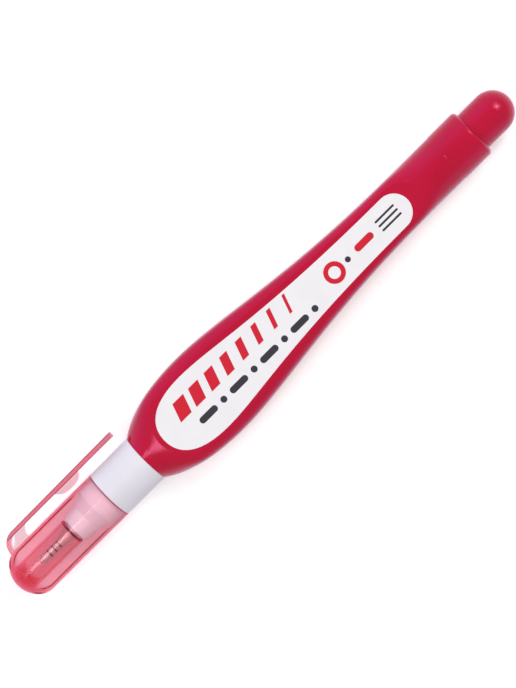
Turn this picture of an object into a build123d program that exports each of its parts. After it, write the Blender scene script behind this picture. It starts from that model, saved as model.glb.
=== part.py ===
from build123d import *
from math import asin, atan2, cos, degrees, radians
import os

# Correction pen with a squeeze barrel, lying on its rear panel. Millimetres, +Z up.
# The pen's axis runs along X, from the closed end of the cap (-X) to the tail (+X).
# The clip is on the +Y side and the labelled panel faces +Z.
# Places along the pen are counted from the closed end of the cap, radii from the pen's axis.

# Cap
cap_length = 26.2
cap_radius = 5.48
cap_dome_length = 4.7
cap_corner_radius = 3.9
cap_end_thickness = 1.7
cap_bore_corner = 3.6
cap_sleeve_radius = 2.85
cap_sleeve_wall = 0.5
cap_sleeve_floor = 3.0
cap_edge_fillet = 0.2
gate_mark_place = 23.8
gate_mark_angle = 46.0
gate_mark_radius = 0.45
gate_mark_depth = 0.15

# Clip on the cap
clip_root = 3.7
clip_gap = 2.22
clip_thickness = 1.12
clip_root_thickness = 0.9
clip_foot_cover = 0.15
clip_width = 3.2
clip_overhang = 8.8
clip_bend_radius = 3.3
clip_tip_fillet = 0.5
clip_web_thickness = 0.9
clip_web_foot = 8.6
clip_web_head = 10.3
clip_web_hollow = 0.48
clip_bump_width = 1.2
clip_bump_depth = 1.5
clip_bump_start = 18.3
clip_bump_peak = 22.0
clip_bump_end = 24.9

# White collar that carries the tip
collar_length = 10.4
collar_inset = 0.03
spigot_radius = 4.82
spigot_length = 3.7
spigot_bead_height = 0.06
spigot_bead_width = 0.6
shoulder_length = 2.7
nozzle_base_radius = 3.4
nozzle_end_radius = 2.9
nozzle_length = 3.4
plug_length = 7.0
plug_chamfer = 0.5
passage_radius = 2.6
passage_throat_length = 1.7
passage_cone_length = 1.7
tip_passage_radius = 1.4

# Metal tip
tip_reach = 9.5
tip_flange_radius = 2.3
tip_flange_thickness = 0.6
tip_base_radius = 1.7
tip_base_length = 1.1
tip_cone_length = 2.4
tip_stem_radius = 1.0
tip_end_radius = 0.62
tip_nose_length = 0.7
tip_tail_radius = 1.9
tip_tail_length = 6.1
tip_bore_radius = 0.55
tip_orifice_radius = 0.34
tip_orifice_length = 0.4
tip_seat_length = 0.3
tip_groove_count = 3
tip_groove_pitch = 1.3
tip_groove_width = 0.4
tip_groove_depth = 0.15
spring_chamber_radius = 1.3
spring_chamber_length = 8.2

# Valve inside the tip
needle_protrusion = 0.35
needle_pin_radius = 0.29
needle_stem_radius = 0.42
needle_flange_radius = 1.15
needle_flange_thickness = 0.8
needle_guide_radius = 0.45
needle_guide_length = 1.9
spring_radius = 0.85
spring_wire_radius = 0.12
spring_wire_sides = 6
spring_turns = 6
seat_length = 2.0
seat_hole_radius = 0.5
seat_slot_width = 0.5
seat_slot_depth = 0.8

# Squeeze barrel
flare_length = 18.3
taper_length = 55.4
rear_length = 18.4
tail_length = 9.8
bulge_half_width = 9.81
rear_radius = 5.58
tail_step = 1.1
panel_stand = 0.22
panel_crown = 0.3
panel_front_blend = 9.0
panel_rear_start = 1.7
panel_rear_blend = 9.5
rear_round_length = 3.2
rear_step = 0.08
rear_step_slope = 0.4
rear_overlap = 0.5
rim_fillet = 0.3
tail_shoulder_fillet = 0.9
wall = 1.0
side_wall = 1.2
panel_relief = 0.08
cavity_overlap = 2.0
cavity_flare_handle = 3.0
cavity_bulge_handle = 5.0
neck_wall = 1.3
neck_length = 7.5
flare_handle = 5.3
flare_slope = 0.76
bulge_front_handle = 3.5
bulge_rear_handle = 12.0
rear_handle = 28.4

# Section shape: handle length of the quarter curve as a share of its half width and height
round_handle = 0.5523
square_handle = 1.0
curve_stations = 10
rear_stations = 4
round_stations = 2

# Label film on the front panel
label_thickness = 0.1
label_front = 5.7
label_widest = 11.0
label_half_width = 6.92
label_rear_radius = 3.72
label_rear_gap = 3.9
label_shift = 0.25
label_nose_handle = 3.52
label_front_handle = 8.57
label_side_handle = 9.0
label_rear_handle = 33.7

# Steel mixing ball
ball_radius = 3.0
ball_from_rim = 42.0

# Clearances
cap_seat_gap = 0.05
press_clearance = 0.02
socket_end_gap = 0.1
needle_seat_gap = 0.05
spring_end_gap = 0.03
ball_floor_gap = 0.1

# Places along the pen that several pieces share
mouth = cap_length
collar_front = mouth + cap_seat_gap
rim = mouth + collar_length
bulge = rim + flare_length
taper_end = bulge + taper_length
step = taper_end + rear_length
tail_end = step + tail_length
spigot_end = mouth - spigot_length
shoulder_end = spigot_end - shoulder_length
nozzle_end = shoulder_end - nozzle_length
tip_end = nozzle_end - tip_reach
tip_tail_end = nozzle_end + tip_tail_length
spring_chamber_front = tip_tail_end - spring_chamber_length
seat_front = tip_tail_end - seat_length

# Radii and heights that several pieces share
tail_radius = rear_radius - tail_step
panel_half_height = rear_radius + panel_stand
collar_radius = cap_radius - collar_inset
rim_radius = cap_radius
neck_radius = rim_radius - neck_wall
plug_radius = neck_radius - press_clearance
tip_socket_radius = tip_tail_radius + press_clearance
cap_bore_radius = spigot_radius + spigot_bead_height + press_clearance
cavity_rear_radius = rear_radius - wall
cavity_half_height = cavity_rear_radius - panel_relief

# The pen's own frame: side_plane holds (place, radius), top_plane holds (place, Y)
half_length = tail_end / 2
axis_height = panel_half_height
closed_end = (-half_length, 0, axis_height)
pen_axis = Axis(closed_end, (1, 0, 0))
side_plane = Plane(origin=closed_end, x_dir=(1, 0, 0), z_dir=(0, -1, 0))
top_plane = Plane(origin=closed_end, x_dir=(1, 0, 0), z_dir=(0, 0, 1))
cross_plane = Plane(origin=closed_end, x_dir=(0, 1, 0), z_dir=(1, 0, 0))

os.makedirs("parts", exist_ok=True)


def ease(place, start, length):
    """Smooth rise from 0 to 1 over a length of the pen."""
    share = min(max((place - start) / length, 0.0), 1.0)
    return share * share * (3 - 2 * share)


def quarter_section(place, half_width, half_height, handle):
    """Quarter of the barrel's section: a curve from its side to its top, closed at the axis."""
    with BuildSketch(cross_plane.offset(place)) as face:
        with BuildLine():
            Bezier(
                (half_width, 0),
                (half_width, handle * half_height),
                (handle * half_width, half_height),
                (0, half_height),
            )
            Polyline((0, half_height), (0, 0), (half_width, 0))
        make_face()
    return face.sketch.face()


# Plan outline of the barrel: it flares from the rim to the bulge and tapers to the rear
flare = Bezier(
    (rim, rim_radius),
    (rim + flare_handle, rim_radius + flare_slope * flare_handle),
    (bulge - bulge_front_handle, bulge_half_width),
    (bulge, bulge_half_width),
)
taper = Bezier(
    (bulge, bulge_half_width),
    (bulge + bulge_rear_handle, bulge_half_width),
    (taper_end - rear_handle, rear_radius),
    (taper_end, rear_radius),
)
panel_rear = taper_end - panel_rear_start
round_start = panel_rear + panel_rear_blend
body_end = round_start + rear_round_length
rear_step_end = body_end + rear_step / rear_step_slope / 2
rear_end_radius = rear_radius - rear_step
shares = [number / curve_stations for number in range(curve_stations)]
body_stations = [curve @ share for curve in (flare, taper) for share in shares]


def barrel_sections():
    """Quarter sections of the barrel from the rim to the round rear."""
    crown_height = panel_half_height + panel_crown
    stations = [(spot.X, spot.Y) for spot in body_stations]
    for number in range(rear_stations + 1):
        share = number / rear_stations
        stations.append((panel_rear + share * panel_rear_blend, rear_radius - share * rear_step))
    for number in range(round_stations):
        share = (number + 1) / round_stations
        stations.append((round_start + share * rear_round_length, rear_end_radius))
    faces = []
    for place, half_width in stations:
        front = ease(place, rim, panel_front_blend)
        rear = 1 - ease(place, panel_rear, panel_rear_blend)
        end_radius = rim_radius if front < 1 else rear_end_radius
        half_height = end_radius + (crown_height - end_radius) * front * rear
        handle = round_handle + (square_handle - round_handle) * front * rear
        faces.append(quarter_section(place, half_width, half_height, handle))
    return faces


# Room inside the barrel: the wide part between the panels, the round rear and the neck
neck_end = rim + neck_length
cavity_half_width = bulge_half_width - side_wall
cavity_rear_half_width = rear_radius - side_wall
tail_bore_radius = tail_radius - wall
tail_centre = tail_end - tail_radius
with BuildPart() as cavity:
    with BuildSketch(top_plane.offset(-cavity_half_height)):
        with BuildLine():
            for side in (1, -1):
                Bezier(
                    (neck_end, side * neck_radius),
                    (neck_end + cavity_flare_handle, side * (neck_radius + cavity_flare_handle)),
                    (bulge - cavity_bulge_handle, side * cavity_half_width),
                    (bulge, side * cavity_half_width),
                )
                Bezier(
                    (bulge, side * cavity_half_width),
                    (bulge + bulge_rear_handle, side * cavity_half_width),
                    (panel_rear - rear_handle, side * cavity_rear_half_width),
                    (panel_rear, side * cavity_rear_half_width),
                )
            Line((neck_end, neck_radius), (neck_end, -neck_radius))
            Line((panel_rear, cavity_rear_half_width), (panel_rear, -cavity_rear_half_width))
        make_face()
    extrude(amount=2 * cavity_half_height)
    with BuildSketch(side_plane):
        with BuildLine():
            Polyline(
                (tail_centre, tail_bore_radius),
                (step, tail_bore_radius),
                (step - wall, cavity_rear_radius),
                (panel_rear - cavity_overlap, cavity_rear_radius),
                (panel_rear - cavity_overlap, 0),
                (tail_centre + tail_bore_radius, 0),
            )
            CenterArc((tail_centre, 0), tail_bore_radius, 0, 90)
        make_face()
    revolve(axis=pen_axis)
    with BuildSketch(side_plane):
        with BuildLine():
            Polyline(
                (rim - cavity_overlap, 0),
                (rim - cavity_overlap, neck_radius),
                (neck_end + cavity_overlap, neck_radius),
                (neck_end + cavity_overlap, 0),
                close=True,
            )
        make_face()
    revolve(axis=pen_axis)

# Squeeze barrel: bulging body with two flat panels, round rear and domed tail.
# One quarter of the body is lofted and mirrored, so that all four sides are alike.
with BuildPart() as barrel:
    loft(sections=barrel_sections())
    split(bisect_by=Plane.XY.offset(axis_height + panel_half_height), keep=Keep.BOTTOM)
    mirror(about=Plane.XZ)
    mirror(about=Plane.XY.offset(axis_height))
    fillet(barrel.edges().group_by(Axis.X)[0], rim_fillet)
    with BuildSketch(side_plane):
        with BuildLine():
            Polyline(
                (tail_centre, tail_radius),
                (step, tail_radius),
                (step, rear_radius),
                (rear_step_end, rear_radius),
                (rear_step_end - rear_overlap, rear_radius - rear_step_slope * rear_overlap),
                (rear_step_end - rear_overlap, 0),
                (tail_end, 0),
            )
            CenterArc((tail_centre, 0), tail_radius, 0, 90)
        make_face()
    revolve(axis=pen_axis)
    step_edges = barrel.edges().filter_by(GeomType.CIRCLE).filter_by_position(
        Axis.X, step - half_length - rear_overlap, step - half_length + rear_overlap
    )
    fillet(step_edges.sort_by(SortBy.RADIUS)[-1], tail_shoulder_fillet)
    add(cavity.part, mode=Mode.SUBTRACT)
barrel.part.label = "barrel"
export_step(barrel.part, "parts/barrel.step")

# Label film, a teardrop that follows the panel
label_nose = rim + label_front
label_peak = label_nose + label_widest
label_rear = taper_end - label_rear_gap
with BuildPart() as label:
    with BuildSketch(top_plane.offset(panel_half_height)) as film:
        with BuildLine():
            for side in (1, -1):
                Bezier(
                    (label_nose, -label_shift),
                    (label_nose, side * label_nose_handle - label_shift),
                    (label_peak - label_front_handle, side * label_half_width - label_shift),
                    (label_peak, side * label_half_width - label_shift),
                )
                Bezier(
                    (label_peak, side * label_half_width - label_shift),
                    (label_peak + label_side_handle, side * label_half_width - label_shift),
                    (label_rear - label_rear_handle, side * label_rear_radius - label_shift),
                    (label_rear, side * label_rear_radius - label_shift),
                )
            CenterArc((label_rear, -label_shift), label_rear_radius, -90, 180)
        make_face()
    extrude(amount=label_thickness)
label.part.label = "label"
export_step(label.part, "parts/label.step")

# White collar: ring, spigot, shoulder and nozzle in front, plug in the barrel's neck behind
bead_middle = (spigot_end + mouth) / 2
bead_radius = spigot_radius + spigot_bead_height
passage_front = tip_tail_end + socket_end_gap
throat_end = passage_front + passage_throat_length
with BuildPart() as collar:
    with BuildSketch(side_plane):
        with BuildLine():
            Polyline(
                (nozzle_end, tip_socket_radius),
                (nozzle_end, nozzle_end_radius),
                (shoulder_end, nozzle_base_radius),
                (spigot_end, spigot_radius),
                (bead_middle - spigot_bead_width, spigot_radius),
                (bead_middle, bead_radius),
                (bead_middle + spigot_bead_width, spigot_radius),
                (collar_front, spigot_radius),
                (collar_front, collar_radius),
                (rim, collar_radius),
                (rim, plug_radius),
                (rim + plug_length - plug_chamfer, plug_radius),
                (rim + plug_length, plug_radius - plug_chamfer),
                (rim + plug_length, passage_radius),
                (throat_end + passage_cone_length, passage_radius),
                (throat_end, tip_passage_radius),
                (passage_front, tip_passage_radius),
                (passage_front, tip_socket_radius),
                close=True,
            )
        make_face()
    revolve(axis=pen_axis)
collar.part.label = "collar"
export_step(collar.part, "parts/collar.step")

# Metal tip: flange on the nozzle, cone, grooved stem, orifice and spring chamber
flange_front = nozzle_end - tip_flange_thickness
base_front = flange_front - tip_base_length
cone_front = base_front - tip_cone_length
nose_rear = tip_end + tip_nose_length
seat_cone_front = tip_end + tip_orifice_length
seat_cone_rear = seat_cone_front + tip_seat_length
first_groove = cone_front - tip_groove_width
with BuildPart() as metal_tip:
    with BuildSketch(side_plane):
        with BuildLine():
            Polyline(
                (tip_end, tip_orifice_radius),
                (tip_end, tip_end_radius),
                (nose_rear, tip_stem_radius),
                (cone_front, tip_stem_radius),
                (base_front, tip_base_radius),
                (flange_front, tip_base_radius),
                (flange_front, tip_flange_radius),
                (nozzle_end, tip_flange_radius),
                (nozzle_end, tip_tail_radius),
                (tip_tail_end, tip_tail_radius),
                (tip_tail_end, spring_chamber_radius),
                (spring_chamber_front, spring_chamber_radius),
                (spring_chamber_front, tip_bore_radius),
                (seat_cone_rear, tip_bore_radius),
                (seat_cone_front, tip_orifice_radius),
                close=True,
            )
        make_face()
    revolve(axis=pen_axis)
    with BuildSketch(side_plane):
        for number in range(tip_groove_count):
            middle = first_groove - number * tip_groove_pitch
            with Locations((middle, tip_stem_radius)):
                Rectangle(tip_groove_width, 2 * tip_groove_depth)
    revolve(axis=pen_axis, mode=Mode.SUBTRACT)
metal_tip.part.label = "metal_tip"
export_step(metal_tip.part, "parts/metal_tip.step")

# Valve needle: its pin stands out of the orifice and its cone closes the seat
pin_end = tip_end - needle_protrusion
pin_rear = seat_cone_front + needle_seat_gap
seat_slope = (tip_bore_radius - tip_orifice_radius) / tip_seat_length
stem_front = pin_rear + (needle_stem_radius - needle_pin_radius) / seat_slope
needle_flange_front = spring_chamber_front + needle_seat_gap
needle_flange_rear = needle_flange_front + needle_flange_thickness
guide_end = needle_flange_rear + needle_guide_length
with BuildPart() as valve_needle:
    with BuildSketch(side_plane):
        with BuildLine():
            Polyline(
                (pin_end, 0),
                (pin_end, needle_pin_radius),
                (pin_rear, needle_pin_radius),
                (stem_front, needle_stem_radius),
                (needle_flange_front, needle_stem_radius),
                (needle_flange_front, needle_flange_radius),
                (needle_flange_rear, needle_flange_radius),
                (needle_flange_rear, needle_guide_radius),
                (guide_end, needle_guide_radius),
                (guide_end, 0),
                close=True,
            )
        make_face()
    revolve(axis=pen_axis)
valve_needle.part.label = "valve_needle"
export_step(valve_needle.part, "parts/valve_needle.step")

# Coil spring between the needle's flange and the spring seat
spring_front = needle_flange_rear + spring_end_gap + spring_wire_radius
spring_rear = seat_front - spring_end_gap - spring_wire_radius
spring_height = spring_rear - spring_front
with BuildPart() as valve_spring:
    with BuildLine() as coil:
        Helix(
            pitch=spring_height / spring_turns,
            height=spring_height,
            radius=spring_radius,
            center=(spring_front - half_length, 0, axis_height),
            direction=(1, 0, 0),
        )
    with BuildSketch(Plane(origin=coil.line @ 0, z_dir=coil.line % 0)):
        RegularPolygon(spring_wire_radius, spring_wire_sides)
    sweep(path=coil.line, is_frenet=True)
valve_spring.part.label = "valve_spring"
export_step(valve_spring.part, "parts/valve_spring.step")

# Spring seat: a plug in the end of the tip with a hole and two cross slots for the fluid
seat_radius = spring_chamber_radius - press_clearance
with BuildPart() as spring_seat:
    with BuildSketch(cross_plane.offset(seat_front)):
        Circle(seat_radius)
        Circle(seat_hole_radius, mode=Mode.SUBTRACT)
    extrude(amount=seat_length)
    with BuildSketch(cross_plane.offset(tip_tail_end)):
        Rectangle(2 * spring_chamber_radius, seat_slot_width)
        Rectangle(seat_slot_width, 2 * spring_chamber_radius)
    extrude(amount=-seat_slot_depth, mode=Mode.SUBTRACT)
spring_seat.part.label = "spring_seat"
export_step(spring_seat.part, "parts/spring_seat.step")

# Steel ball, loose in the barrel and lying just above its floor
ball_height = axis_height - cavity_half_height + ball_floor_gap + ball_radius
ball_centre = (rim + ball_from_rim - half_length, 0, ball_height)
ball_plane = Plane(origin=ball_centre, x_dir=(1, 0, 0), z_dir=(0, -1, 0))
with BuildPart() as mixing_ball:
    with BuildSketch(ball_plane):
        with BuildLine():
            CenterArc((0, 0), ball_radius, 0, 180)
            Line((-ball_radius, 0), (ball_radius, 0))
        make_face()
    revolve(axis=Axis(ball_centre, (1, 0, 0)))
mixing_ball.part.label = "mixing_ball"
export_step(mixing_ball.part, "parts/mixing_ball.step")

# Cap: domed shell with a wide bore, and an inner sleeve that closes on the tip's flange
sleeve_end = flange_front - cap_seat_gap
sleeve_bore_radius = cap_sleeve_radius - cap_sleeve_wall
bore_corner_start = cap_end_thickness + cap_bore_corner
bore_corner_height = cap_bore_radius - cap_bore_corner
sleeve_join = degrees(asin((cap_sleeve_radius - bore_corner_height) / cap_bore_corner))
sleeve_root = bore_corner_start - cap_bore_corner * cos(radians(sleeve_join))
corner_height = cap_radius - cap_corner_radius
corner_reach = cap_dome_length**2 + corner_height**2 - cap_corner_radius**2
dome_radius = corner_reach / (2 * (cap_dome_length - cap_corner_radius))
dome_join = degrees(atan2(corner_height, cap_dome_length - dome_radius))
clip_inner = cap_radius + clip_gap
clip_outer = clip_inner + clip_thickness
clip_root_outer = clip_inner + clip_root_thickness
clip_tip = mouth + clip_overhang
clip_bend = clip_root + clip_bend_radius
clip_bend_height = clip_root_outer - clip_bend_radius
clip_leg = clip_root + clip_root_thickness
clip_foot = cap_bore_radius + clip_foot_cover
gate_place = Location((gate_mark_place - half_length, 0, axis_height), (gate_mark_angle, 0, 0))
gate_plane = Plane(gate_place).offset(cap_radius)
with BuildPart() as cap:
    with BuildSketch(side_plane):
        with BuildLine():
            CenterArc((dome_radius, 0), dome_radius, dome_join, 180 - dome_join)
            CenterArc((cap_dome_length, corner_height), cap_corner_radius, 90, dome_join - 90)
            Polyline(
                (cap_dome_length, cap_radius),
                (mouth, cap_radius),
                (mouth, cap_bore_radius),
                (bore_corner_start, cap_bore_radius),
            )
            CenterArc((bore_corner_start, bore_corner_height), cap_bore_corner, 90, 90 - sleeve_join)
            Polyline(
                (sleeve_root, cap_sleeve_radius),
                (sleeve_end, cap_sleeve_radius),
                (sleeve_end, sleeve_bore_radius),
                (cap_sleeve_floor + sleeve_bore_radius, sleeve_bore_radius),
            )
            CenterArc((cap_sleeve_floor + sleeve_bore_radius, 0), sleeve_bore_radius, 90, 90)
            Line((cap_sleeve_floor, 0), (0, 0))
        make_face()
    revolve(axis=pen_axis)
    fillet(cap.edges().group_by(Axis.X)[-1], cap_edge_fillet)
    sleeve_edges = cap.edges().filter_by(GeomType.CIRCLE).filter_by_position(
        Axis.X, sleeve_end - half_length - cap_edge_fillet, sleeve_end - half_length + cap_edge_fillet
    )
    fillet(sleeve_edges, cap_edge_fillet)
    with BuildSketch(top_plane):
        with BuildLine():
            Polyline(
                (clip_bend, clip_inner),
                (clip_tip, clip_inner),
                (clip_tip, clip_outer),
                (clip_bend, clip_root_outer),
            )
            CenterArc((clip_bend, clip_bend_height), clip_bend_radius, 90, 90)
            Polyline(
                (clip_root, clip_bend_height),
                (clip_root, clip_foot),
                (clip_leg, clip_foot),
                (clip_leg, clip_bend_height),
            )
            CenterArc((clip_bend, clip_bend_height), clip_bend_radius - clip_root_thickness, 90, 90)
        make_face()
    extrude(amount=clip_width / 2, both=True)
    fillet(cap.edges().filter_by(Axis.Y).group_by(Axis.X)[-1], clip_tip_fillet)
    with BuildSketch(top_plane):
        with BuildLine():
            SagittaArc(
                (clip_web_foot, cap_radius - cap_edge_fillet),
                (clip_web_head, clip_inner + cap_edge_fillet),
                clip_web_hollow,
            )
            Polyline(
                (clip_web_head, clip_inner + cap_edge_fillet),
                (clip_bend, clip_inner + cap_edge_fillet),
                (clip_leg - cap_edge_fillet, clip_bend_height),
                (clip_leg - cap_edge_fillet, clip_foot),
                (clip_web_foot, clip_foot),
                (clip_web_foot, cap_radius - cap_edge_fillet),
            )
        make_face()
    extrude(amount=clip_web_thickness / 2, both=True)
    with BuildSketch(top_plane):
        with BuildLine():
            bump_low = clip_inner - clip_bump_depth
            bump_high = clip_inner + cap_edge_fillet
            Bezier(
                (clip_bump_start, bump_high),
                ((2 * clip_bump_start + clip_bump_peak) / 3, bump_low),
                ((clip_bump_start + 2 * clip_bump_peak) / 3, bump_low),
                (clip_bump_peak, bump_low),
            )
            Bezier(
                (clip_bump_peak, bump_low),
                (clip_bump_end, bump_low),
                (clip_bump_end, clip_inner),
                (clip_bump_end, bump_high),
            )
            Line((clip_bump_end, bump_high), (clip_bump_start, bump_high))
        make_face()
    extrude(amount=clip_bump_width / 2, both=True)
    with BuildSketch(gate_plane):
        Circle(gate_mark_radius)
    extrude(amount=-gate_mark_depth, mode=Mode.SUBTRACT)
cap.part.label = "cap"
export_step(cap.part, "parts/cap.step")
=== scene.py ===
from math import cos, radians, sin

import bpy
from mathutils import Matrix, Vector


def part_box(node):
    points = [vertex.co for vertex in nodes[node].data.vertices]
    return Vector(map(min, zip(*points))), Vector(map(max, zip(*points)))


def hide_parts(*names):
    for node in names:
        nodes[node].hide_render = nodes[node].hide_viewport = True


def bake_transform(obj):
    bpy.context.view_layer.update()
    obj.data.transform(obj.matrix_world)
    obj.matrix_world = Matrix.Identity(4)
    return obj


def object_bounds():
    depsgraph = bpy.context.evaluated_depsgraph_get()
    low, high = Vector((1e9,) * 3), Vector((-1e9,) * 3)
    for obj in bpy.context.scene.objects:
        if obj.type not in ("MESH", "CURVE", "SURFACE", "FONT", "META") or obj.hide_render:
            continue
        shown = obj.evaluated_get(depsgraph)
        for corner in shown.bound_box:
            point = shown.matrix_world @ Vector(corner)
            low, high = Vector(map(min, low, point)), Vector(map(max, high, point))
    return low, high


# Looks of the correction pen. Metres, in the frame of the solids: the pen's axis runs along X,
# the cap is at -X, the clip is on the +Y side and the labelled panel faces +Z.
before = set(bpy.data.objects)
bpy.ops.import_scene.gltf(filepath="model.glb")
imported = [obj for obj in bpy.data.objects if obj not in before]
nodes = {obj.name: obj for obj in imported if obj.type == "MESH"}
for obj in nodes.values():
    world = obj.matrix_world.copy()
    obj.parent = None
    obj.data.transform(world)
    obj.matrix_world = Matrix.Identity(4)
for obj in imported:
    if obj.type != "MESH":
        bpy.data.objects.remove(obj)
cad_low, cad_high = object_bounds()

MM = 0.001

# Places read from the solids
barrel_low, barrel_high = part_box("barrel")
cap_low, cap_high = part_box("cap")
axis_height = (barrel_low.z + barrel_high.z) / 2

# Places along the pen, from the cap's mouth at +X to its dome at -X
collar_ring_width = 10.4 * MM
mouth = barrel_low.x - collar_ring_width
mouth_edge = mouth - 0.2 * MM
sleeve_lip = mouth - 10.85 * MM
end_band = 0.1 * MM
line_full = mouth - 6.5 * MM
line_faint = mouth - 4.5 * MM
first_groove = mouth - 14.3 * MM
groove_pitch = 1.3 * MM
groove_count = 3
groove_edge = (0.17 * MM, 0.2 * MM)
dome_full = cap_low.x + 1.0 * MM
dome_end = cap_low.x + 3.5 * MM

# Bands of distance from the pen's axis, in the cap
lip_limit = (2.95 * MM, 3.0 * MM)
sleeve_limit = (3.9 * MM, 4.1 * MM)
bore_limit = (4.95 * MM, 5.05 * MM)
edge_limit = (5.6 * MM, 5.7 * MM)

# Places across the pen, on the clip
web_start = (5.6 * MM, 5.75 * MM)
bar_inner = 7.7 * MM
bar_root_outer = 8.6 * MM
bar_band = 0.02 * MM
bar_rim_width = (0.12 * MM, 0.3 * MM)


def srgb(red, green, blue):
    """Scene-linear colour of an 8-bit display colour."""
    def linear(level):
        """One channel of it."""
        share = level / 255
        return share / 12.92 if share <= 0.04045 else ((share + 0.055) / 1.055) ** 2.4
    return (linear(red), linear(green), linear(blue), 1.0)


def new_material(name):
    """Material with a Principled shader, its node tree and the shader."""
    material = bpy.data.materials.new(name)
    material.use_nodes = True
    tree = material.node_tree
    return material, tree, tree.nodes["Principled BSDF"]


def add(tree, kind, **settings):
    """New node with its settings."""
    made = tree.nodes.new(kind)
    for name, value in settings.items():
        setattr(made, name, value)
    return made


def place_in_frame(tree):
    """Point on the surface, in the frame of the solids."""
    return add(tree, "ShaderNodeTexCoord").outputs["Object"]


def split(tree, point):
    """Sockets of a point's X, Y and Z."""
    parts = add(tree, "ShaderNodeSeparateXYZ")
    tree.links.new(point, parts.inputs["Vector"])
    return parts.outputs["X"], parts.outputs["Y"], parts.outputs["Z"]


def calc(tree, operation, first, second=0.0, third=0.0):
    """Math node on sockets or plain numbers."""
    made = add(tree, "ShaderNodeMath", operation=operation)
    for number, value in enumerate((first, second, third)):
        if isinstance(value, (int, float)):
            made.inputs[number].default_value = value
        else:
            tree.links.new(value, made.inputs[number])
    return made.outputs[0]


def both(tree, first, second):
    """Mask where two masks hold."""
    return calc(tree, "MULTIPLY", first, second)


def length_of(tree, first, second):
    """Length of a line from its parts along two directions."""
    squares = calc(tree, "ADD", calc(tree, "POWER", first, 2.0), calc(tree, "POWER", second, 2.0))
    return calc(tree, "SQRT", squares)


def from_axis(tree, point):
    """Distance of a point from the pen's axis."""
    _, y, z = split(tree, point)
    return length_of(tree, y, calc(tree, "SUBTRACT", z, axis_height))


def noise(tree, point, size, detail=2.0):
    """Noise whose features are about the given size."""
    made = add(tree, "ShaderNodeTexNoise")
    made.inputs["Scale"].default_value = 1 / size
    made.inputs["Detail"].default_value = detail
    tree.links.new(point, made.inputs["Vector"])
    return made.outputs["Fac"]


def between(tree, factor, low, high, first, second):
    """Value or colour that goes from first to second as the factor goes from low to high."""
    span = add(tree, "ShaderNodeMapRange")
    span.inputs["From Min"].default_value = low
    span.inputs["From Max"].default_value = high
    tree.links.new(factor, span.inputs["Value"])
    if isinstance(first, (int, float)):
        span.inputs["To Min"].default_value = first
        span.inputs["To Max"].default_value = second
        return span.outputs["Result"]
    mixed = add(tree, "ShaderNodeMix", data_type="RGBA")
    tree.links.new(span.outputs["Result"], mixed.inputs["Factor"])
    mixed.inputs["A"].default_value = first
    mixed.inputs["B"].default_value = second
    return mixed.outputs["Result"]


def above(tree, factor, low, high):
    """Mask that comes in as the factor goes from low to high."""
    return between(tree, factor, low, high, 0.0, 1.0)


def below(tree, factor, low, high):
    """Mask that goes out as the factor goes from low to high."""
    return between(tree, factor, low, high, 1.0, 0.0)


def vary(tree, cloud, first, second):
    """Value or colour that goes from first to second over the usual range of a noise."""
    noise_low, noise_high = 0.3, 0.7
    return between(tree, cloud, noise_low, noise_high, first, second)


def blend(tree, factor, first, second):
    """Colour socket that goes over to a plain colour as the factor goes from 0 to 1."""
    mixed = add(tree, "ShaderNodeMix", data_type="RGBA")
    tree.links.new(factor, mixed.inputs["Factor"])
    tree.links.new(first, mixed.inputs["A"])
    mixed.inputs["B"].default_value = second
    return mixed.outputs["Result"]


def bump(tree, shader, *layers):
    """Relief on a shader from layers of (height, depth in metres)."""
    normal = None
    for height, depth in layers:
        made = add(tree, "ShaderNodeBump")
        made.inputs["Distance"].default_value = depth
        tree.links.new(height, made.inputs["Height"])
        if normal:
            tree.links.new(normal, made.inputs["Normal"])
        normal = made.outputs["Normal"]
    tree.links.new(normal, shader.inputs["Normal"])


# Barrel
def barrel_plastic():
    """Glossy red squeeze plastic with a slightly uneven moulded skin."""
    material, tree, shader = new_material("barrel_red_plastic")
    point = place_in_frame(tree)
    cloud = noise(tree, point, 9 * MM, detail=3.0)
    grain = noise(tree, point, 0.25 * MM)
    swell = noise(tree, point, 6 * MM, detail=1.0)
    colour = vary(tree, cloud, srgb(190, 0, 40), srgb(196, 2, 47))
    tree.links.new(colour, shader.inputs["Base Color"])
    tree.links.new(vary(tree, grain, 0.12, 0.18), shader.inputs["Roughness"])
    shader.inputs["IOR"].default_value = 1.5
    shader.inputs["Specular IOR Level"].default_value = 0.55
    shader.inputs["Specular Tint"].default_value = (1.0, 0.32, 0.56, 1.0)
    bump(tree, shader, (swell, 0.02 * MM), (grain, 0.0006 * MM))
    return material


# Cap
clear_tones = (0.98, 0.92, 0.94, 1.0), (0.97, 0.9, 0.92, 1.0)
# painted shade: deep red along the bore's outline, where the clear wall is seen edge-on
bore_shade_tone = (0.3, 0.0, 0.03, 1.0)
# painted shade: dark crimson ring at the sleeve's open lip
lip_shade_tone = (0.5, 0.06, 0.14, 1.0)
# painted shade: darker pink on the end face at the cap's mouth
mouth_shade_tone = (0.7, 0.25, 0.4, 1.0)
# painted shade: darker crimson towards the end of the cap's dome
dome_end_shade_tone = (0.9, 0.6, 0.77, 1.0)
web_tone = (0.86, 0.92, 0.92, 1.0)
bar_tone = (0.77, 0.61, 0.66, 1.0)
# painted shade: darker lines along the clip bar's rims
bar_rim_shade_tone = (0.5, 0.28, 0.34, 1.0)
line_at_mouth = 0.2
line_facing = (0.6, 0.72)
coat_weight = 0.3
light_let_through = 0.85


def end_face(tree, x, reach, end, limit):
    """Mask of the last bit before an end along the pen, within a limit from the axis."""
    return both(tree, above(tree, x, end - end_band, end), below(tree, reach, *limit))


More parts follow.
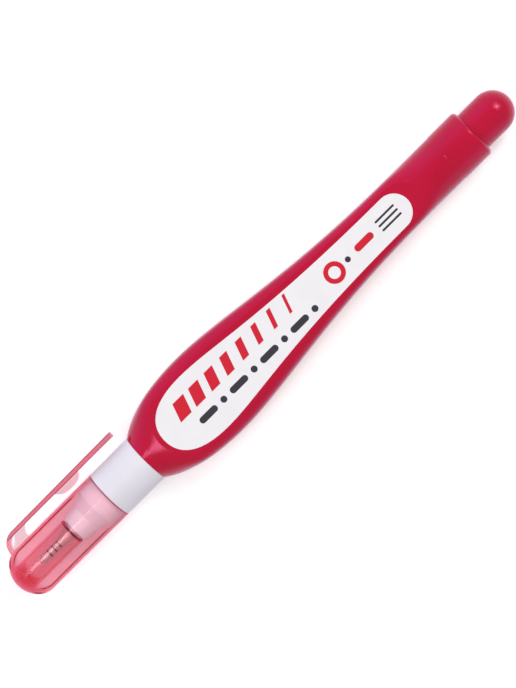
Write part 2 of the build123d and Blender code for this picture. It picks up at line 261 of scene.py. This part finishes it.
def bore_outline_shade(tree, x, reach):
    """Mask of painted shade along the bore's outline, where the clear wall is seen edge-on, faint
    near the mouth.
    """
    weight = add(tree, "ShaderNodeLayerWeight")
    edge_on = above(tree, weight.outputs["Facing"], *line_facing)
    on_bore = both(tree, below(tree, reach, *bore_limit), above(tree, reach, *sleeve_limit))
    deep = between(tree, x, line_full, line_faint, 1.0, line_at_mouth)
    return both(tree, both(tree, edge_on, on_bore), deep)


def clip_colour(tree, colour, x, y):
    """Colour of the cap with the clip's tones for the web and bump and for the bar, and painted
    shade along the bar's rims.
    """
    colour = blend(tree, above(tree, y, *web_start), colour, web_tone)
    bar_outer = between(tree, x, cap_low.x, cap_high.x, bar_root_outer, cap_high.y)
    from_inner = calc(tree, "SUBTRACT", y, bar_inner)
    from_outer = calc(tree, "SUBTRACT", bar_outer, y)
    from_side = calc(tree, "MINIMUM", from_inner, from_outer)
    on_bar = above(tree, y, bar_inner - bar_band, bar_inner)
    colour = blend(tree, on_bar, colour, bar_tone)
    # painted shade within a rim's width of the bar's sides
    rim = both(tree, below(tree, from_side, *bar_rim_width), on_bar)
    return blend(tree, rim, colour, bar_rim_shade_tone)


def cap_plastic():
    """Clear plastic, tinted through its thickness, with painted shade in deep red where its edges
    show.
    """
    material, tree, shader = new_material("cap_clear_plastic")
    point = place_in_frame(tree)
    x, y, _ = split(tree, point)
    reach = from_axis(tree, point)
    grain = noise(tree, point, 0.4 * MM)
    line = bore_outline_shade(tree, x, reach)
    colour = vary(tree, grain, *clear_tones)
    # painted shade on the sleeve's lip
    colour = blend(tree, end_face(tree, x, reach, sleeve_lip, lip_limit), colour, lip_shade_tone)
    # painted shade on the mouth's end face
    colour = blend(tree, end_face(tree, x, reach, mouth_edge, edge_limit), colour, mouth_shade_tone)
    # painted shade towards the dome's end
    colour = blend(tree, below(tree, x, dome_full, dome_end), colour, dome_end_shade_tone)
    colour = clip_colour(tree, colour, x, y)
    # painted shade along the bore's outline; the coat is also taken off there
    colour = blend(tree, line, colour, bore_shade_tone)
    tree.links.new(colour, shader.inputs["Base Color"])
    tree.links.new(vary(tree, grain, 0.01, 0.04), shader.inputs["Roughness"])
    shader.inputs["IOR"].default_value = 1.02
    shader.inputs["Transmission Weight"].default_value = 1.0
    coat = between(tree, line, 0.0, 1.0, coat_weight, 0.0)
    tree.links.new(coat, shader.inputs["Coat Weight"])
    shader.inputs["Coat Roughness"].default_value = 0.03
    shadow = add(tree, "ShaderNodeLightPath").outputs["Is Shadow Ray"]
    opaque = calc(tree, "MULTIPLY_ADD", shadow, -light_let_through, 1.0)
    tree.links.new(opaque, shader.inputs["Alpha"])
    tint = add(tree, "ShaderNodeVolumeAbsorption")
    tint.inputs["Color"].default_value = (0.93, 0.10, 0.26, 1.0)
    tint.inputs["Density"].default_value = 360.0
    tree.links.new(tint.outputs["Volume"], tree.nodes["Material Output"].inputs["Volume"])
    return material


# Collar and spring seat
def collar_plastic():
    """Satin white plastic, with painted shade that makes the nose inside the cap slightly greyer.
    """
    material, tree, shader = new_material("collar_white_plastic")
    point = place_in_frame(tree)
    x, _, _ = split(tree, point)
    cloud = noise(tree, point, 6 * MM)
    grain = noise(tree, point, 0.3 * MM)
    colour = vary(tree, cloud, srgb(234, 230, 239), srgb(240, 236, 244))
    # painted shade: the same white plastic greyed on the nose inside the cap
    colour = blend(tree, below(tree, x, mouth - end_band, mouth), colour, srgb(219, 219, 224))
    tree.links.new(colour, shader.inputs["Base Color"])
    tree.links.new(vary(tree, grain, 0.38, 0.5), shader.inputs["Roughness"])
    bump(tree, shader, (grain, 0.003 * MM))
    return material


# Label
def bar(tree, across, along, half_length, half_width):
    """Distance to a bar with round ends, from coordinates about its middle."""
    past_end = calc(tree, "SUBTRACT", calc(tree, "ABSOLUTE", along), half_length - half_width)
    past_end = calc(tree, "MAXIMUM", past_end, 0.0)
    return calc(tree, "SUBTRACT", length_of(tree, past_end, across), half_width)


def ring(tree, across, along, radius, half_width):
    """Distance to a ring about the origin of the coordinates."""
    gap = calc(tree, "SUBTRACT", length_of(tree, across, along), radius)
    return calc(tree, "SUBTRACT", calc(tree, "ABSOLUTE", gap), half_width)


def stripes(tree, across, along, count, pitch, half_height, slant, widest, narrowest):
    """Distance to a row of slanted bars that start at the origin and grow narrower."""
    place = calc(tree, "DIVIDE", calc(tree, "MULTIPLY_ADD", across, -slant, along), pitch)
    number = calc(tree, "FLOOR", place)
    number = calc(tree, "MINIMUM", calc(tree, "MAXIMUM", number, 0.0), count - 1.0)
    offset = calc(tree, "SUBTRACT", calc(tree, "SUBTRACT", place, number), 0.5)
    shrink = (widest - narrowest) / (count - 1) / 2
    half_width = calc(tree, "MULTIPLY_ADD", number, -shrink, widest / 2)
    beside = calc(tree, "MULTIPLY", calc(tree, "ABSOLUTE", offset), pitch)
    beside = calc(tree, "SUBTRACT", beside, half_width)
    over = calc(tree, "SUBTRACT", calc(tree, "ABSOLUTE", across), half_height)
    return calc(tree, "MAXIMUM", beside, over)


def nearest(tree, distances):
    """Least of several distances."""
    least = distances[0]
    for distance in distances[1:]:
        least = calc(tree, "MINIMUM", least, distance)
    return least


def print_marks(tree, point):
    """Ink cover of the label's plain marks: the red ones and the dark ones."""
    x_here, y_here, _ = split(tree, point)
    row_y = -2.7
    dash_x = (-17.0, -8.5, 0.0, 8.5)
    dot_x = (-12.75, -4.25, 4.25, 12.75)
    thin_line_x = 35.6
    thin_line_y = (0.9, -0.2, -1.3)
    ink_edge = 0.03 * MM

    def about(x, y):
        """Coordinates across and along the pen, about a place in millimetres."""
        return calc(tree, "SUBTRACT", y_here, y * MM), calc(tree, "SUBTRACT", x_here, x * MM)

    def mark(x, y, half_length, half_width):
        """Distance to a bar along the pen, in metres, from its sizes in millimetres."""
        return bar(tree, *about(x, y), half_length * MM, half_width * MM)

    slanted_row = stripes(
        tree, *about(-22.0, 1.9), count=8, pitch=4.2 * MM, half_height=1.9 * MM, slant=0.35,
        widest=3.0 * MM, narrowest=0.7 * MM
    )
    red_ring = ring(tree, *about(20.5, -0.4), radius=1.75 * MM, half_width=0.5 * MM)
    red = [slanted_row, red_ring, mark(28.9, -0.2, 2.4, 0.75)]
    dark = [mark(x, row_y, 2.3, 0.7) for x in dash_x]
    dark += [mark(x, row_y, 0.7, 0.7) for x in dot_x]
    dark += [mark(24.2, -0.4, 0.6, 0.6)]
    dark += [mark(thin_line_x, y, 2.6, 0.22) for y in thin_line_y]
    return [below(tree, nearest(tree, marks), -ink_edge, ink_edge) for marks in (red, dark)]


def label_film():
    """White film with plain marks in red and dark ink."""
    material, tree, shader = new_material("label_white_film")
    point = place_in_frame(tree)
    cloud = noise(tree, point, 5 * MM)
    grain = noise(tree, point, 0.15 * MM)
    red_ink, dark_ink = print_marks(tree, point)
    colour = vary(tree, cloud, srgb(246, 243, 245), srgb(250, 247, 249))
    colour = blend(tree, red_ink, colour, srgb(214, 18, 46))
    colour = blend(tree, dark_ink, colour, srgb(44, 41, 50))
    tree.links.new(colour, shader.inputs["Base Color"])
    tree.links.new(vary(tree, grain, 0.5, 0.6), shader.inputs["Roughness"])
    shader.inputs["Specular IOR Level"].default_value = 0.3
    bump(tree, shader, (grain, 0.002 * MM))
    return material


# Metal pieces
turning_shade = 0.8
turning_roughness = 0.12


def groove_shade_mask(tree, x):
    """Mask of painted shade in the grooves turned in the tip, counted back from the first towards
    the point.
    """
    place = calc(tree, "DIVIDE", calc(tree, "SUBTRACT", x, first_groove), groove_pitch)
    number = calc(tree, "MAXIMUM", calc(tree, "ROUND", place), 1.0 - groove_count)
    number = calc(tree, "MINIMUM", number, 0.0)
    beside = calc(tree, "ABSOLUTE", calc(tree, "SUBTRACT", place, number))
    return below(tree, calc(tree, "MULTIPLY", beside, groove_pitch), *groove_edge)


def metal(name, tone, roughness, grain_size, grooves=False):
    """Bright metal with fine turning marks round the pen's axis, and painted shade in the tip's
    grooves.
    """
    material, tree, shader = new_material(name)
    x, _, _ = split(tree, place_in_frame(tree))
    along = add(tree, "ShaderNodeCombineXYZ")
    tree.links.new(x, along.inputs["X"])
    rings = noise(tree, along.outputs["Vector"], grain_size, detail=3.0)
    dark = tuple(turning_shade * level for level in tone[:3]) + (1.0,)
    colour = vary(tree, rings, dark, tone)
    if grooves:
        # painted shade in the tip's grooves
        colour = blend(tree, groove_shade_mask(tree, x), colour, srgb(150, 116, 112))
    tree.links.new(colour, shader.inputs["Base Color"])
    dull = vary(tree, rings, roughness, roughness + turning_roughness)
    tree.links.new(dull, shader.inputs["Roughness"])
    shader.inputs["Metallic"].default_value = 1.0
    bump(tree, shader, (rings, 0.01 * MM))
    return material


def dress(name, material):
    """Gives a node of the solids its finish."""
    for slot in nodes[name].material_slots:
        slot.material = material


dress("barrel", barrel_plastic())
dress("cap", cap_plastic())
dress("collar", collar_plastic())
dress("label", label_film())
dress("metal_tip", metal("tip_turned_metal", srgb(228, 217, 213), 0.5, 0.12 * MM, grooves=True))
dress("valve_needle", metal("needle_steel", srgb(205, 205, 208), 0.2, 0.1 * MM))
dress("mixing_ball", metal("ball_steel", srgb(198, 200, 204), 0.12, 0.5 * MM))
dress("spring_seat", collar_plastic())


def make_spring():
    """Steel-finished copy of the spring that shortens between the needle's flange and its seat,
    shown in place of its node in one fixed shape.
    """
    node = nodes["valve_spring"]
    coil = bpy.data.objects.new("spring_coil", node.data.copy())
    coil.matrix_world = node.matrix_world
    bpy.context.scene.collection.objects.link(coil)
    coil.data.materials.clear()
    coil.data.materials.append(metal("spring_steel", srgb(180, 182, 186), 0.25, 0.1 * MM))
    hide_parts("valve_spring")
    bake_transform(coil)


make_spring()

# Floor and light
through_loss = 0.5
floor_glow = 0.42
floor_tone = (1.0, 1.0, 1.0, 1.0)
floor_mirrored_tone = (0.95, 0.95, 1.4, 1.0)
horizon_level, wall_level, zenith_level = 0.2, 0.66, 0.25
horizon_band = (0.08, 0.4)
zenith_band = (0.75, 0.95)
side_band = (-0.6, 0.6)
side_levels = (0.7, 1.05)
side_tones = (1.0, 0.98, 0.95, 1.0), (0.96, 0.97, 1.05, 1.0)
left_wing = (0.2, 0.8)
right_wing = (-0.86, -1.0)
right_wing_share = 0.8
wing_tone = (1.5, 1.35, 2.2, 1.0)


def ray_kinds(tree):
    """How far a ray shows plain white surroundings, and whether a surface mirrors it."""
    path = add(tree, "ShaderNodeLightPath")
    glossy, through = path.outputs["Is Glossy Ray"], path.outputs["Is Transmission Ray"]
    seen = calc(tree, "MAXIMUM", path.outputs["Is Camera Ray"], glossy)
    seen = calc(tree, "MULTIPLY_ADD", through, -through_loss, seen)
    mirrored = calc(tree, "MAXIMUM", calc(tree, "SUBTRACT", glossy, through), 0.0)
    return seen, mirrored


def floor_material():
    """Pale floor that stays white to the camera and keeps the pen's soft shadow."""
    material, tree, shader = new_material("floor_white")
    shader.inputs["Base Color"].default_value = (0.86, 0.86, 0.87, 1.0)
    shader.inputs["Roughness"].default_value = 0.9
    shader.inputs["Specular IOR Level"].default_value = 0.0
    seen, mirrored = ray_kinds(tree)
    colour = between(tree, mirrored, 0.0, 1.0, floor_tone, floor_mirrored_tone)
    tree.links.new(colour, shader.inputs["Emission Color"])
    glow = calc(tree, "MULTIPLY", seen, floor_glow)
    tree.links.new(glow, shader.inputs["Emission Strength"])
    return material


def make_floor(half_side):
    """Square floor at the pen's lowest point."""
    signs = (-1, -1), (1, -1), (1, 1), (-1, 1)
    corners = [(x * half_side, y * half_side, cad_low.z) for x, y in signs]
    mesh = bpy.data.meshes.new("floor")
    mesh.from_pydata(corners, [], [(0, 1, 2, 3)])
    floor = bpy.data.objects.new("floor", mesh)
    bpy.context.scene.collection.objects.link(floor)
    mesh.materials.append(floor_material())


def make_world():
    """White surroundings that light the pen less from the horizon and overhead than from the
    walls, and whose two sides look cooler where a glossy surface mirrors them."""
    world = bpy.data.worlds.new("studio")
    bpy.context.scene.world = world
    world.use_nodes = True
    tree = world.node_tree
    shade = tree.nodes["Background"]
    _, y, z = split(tree, add(tree, "ShaderNodeTexCoord").outputs["Generated"])
    seen, mirrored = ray_kinds(tree)
    rise = between(tree, z, *horizon_band, horizon_level, wall_level)
    fall = between(tree, z, *zenith_band, wall_level, zenith_level)
    side = between(tree, y, *side_band, *side_levels)
    level = calc(tree, "MULTIPLY", calc(tree, "MINIMUM", rise, fall), side)
    tree.links.new(calc(tree, "MAXIMUM", level, seen), shade.inputs["Strength"])
    left = above(tree, y, *left_wing)
    right = between(tree, y, *right_wing, 0.0, right_wing_share)
    wings = both(tree, calc(tree, "ADD", left, right), mirrored)
    tint = between(tree, y, *side_band, *side_tones)
    tree.links.new(blend(tree, wings, tint, wing_tone), shade.inputs["Color"])


def softbox(name, place, length, width, power):
    """Lamp that faces the middle of the pen, with its length across the pen."""
    lamp = bpy.data.lights.new(name, "AREA")
    lamp.shape = "RECTANGLE"
    lamp.size = length
    lamp.size_y = width
    lamp.energy = power
    holder = bpy.data.objects.new(name, lamp)
    holder.location = place
    aim = Vector((0, 0, axis_height)) - Vector(place)
    holder.rotation_euler = aim.to_track_quat("-Z", "Y").to_euler()
    bpy.context.scene.collection.objects.link(holder)


make_floor(half_side=3.0)
make_world()
softbox("tail_lamp", (0.45, 0.08, 0.5), length=0.38, width=0.36, power=1.25)
softbox("tail_core", (0.447, 0.08, 0.497), length=0.13, width=0.12, power=0.5)
softbox("cap_lamp", (-0.5, 0.08, 0.45), length=0.2, width=0.2, power=0.7)
softbox("flare_lamp", (-0.265, 0.0, 0.62), length=0.12, width=0.15, power=0.45)
softbox("streak_lamp", (-0.165, 0.085, 0.6), length=0.08, width=0.05, power=0.11)

# Camera: almost straight above the label, a little towards the tail
photo_height = 688
photo_pixel = 0.1995 * MM
photo_centre = Vector((-0.64 * MM, 0.28 * MM, axis_height))
pen_angle = radians(44.9)
lean = radians(4.2)
lens = 180.0
sensor = 36.0


def make_camera():
    """Long lens at the distance that gives the photograph's scale."""
    data = bpy.data.cameras.new("camera")
    data.lens = lens
    data.sensor_width = sensor
    data.clip_start = 0.01
    data.clip_end = 20.0
    camera = bpy.data.objects.new("camera", data)
    back = Vector((sin(lean), 0, cos(lean)))
    along = Vector((cos(lean), 0, -sin(lean)))
    across = Vector((0, 1, 0))
    right = cos(pen_angle) * along - sin(pen_angle) * across
    up = sin(pen_angle) * along + cos(pen_angle) * across
    distance = photo_pixel * photo_height * lens / sensor
    turn = Matrix((right, up, back)).transposed().to_4x4()
    camera.matrix_world = Matrix.Translation(photo_centre + distance * back) @ turn
    bpy.context.scene.collection.objects.link(camera)
    bpy.context.scene.camera = camera


make_camera()
bpy.context.scene.view_settings.view_transform = "Standard"

# Enough bounces for light to cross all the clear walls of the cap
ray_bounces = 32
bpy.context.scene.cycles.max_bounces = ray_bounces
bpy.context.scene.cycles.transmission_bounces = ray_bounces
bpy.context.scene.cycles.glossy_bounces = ray_bounces
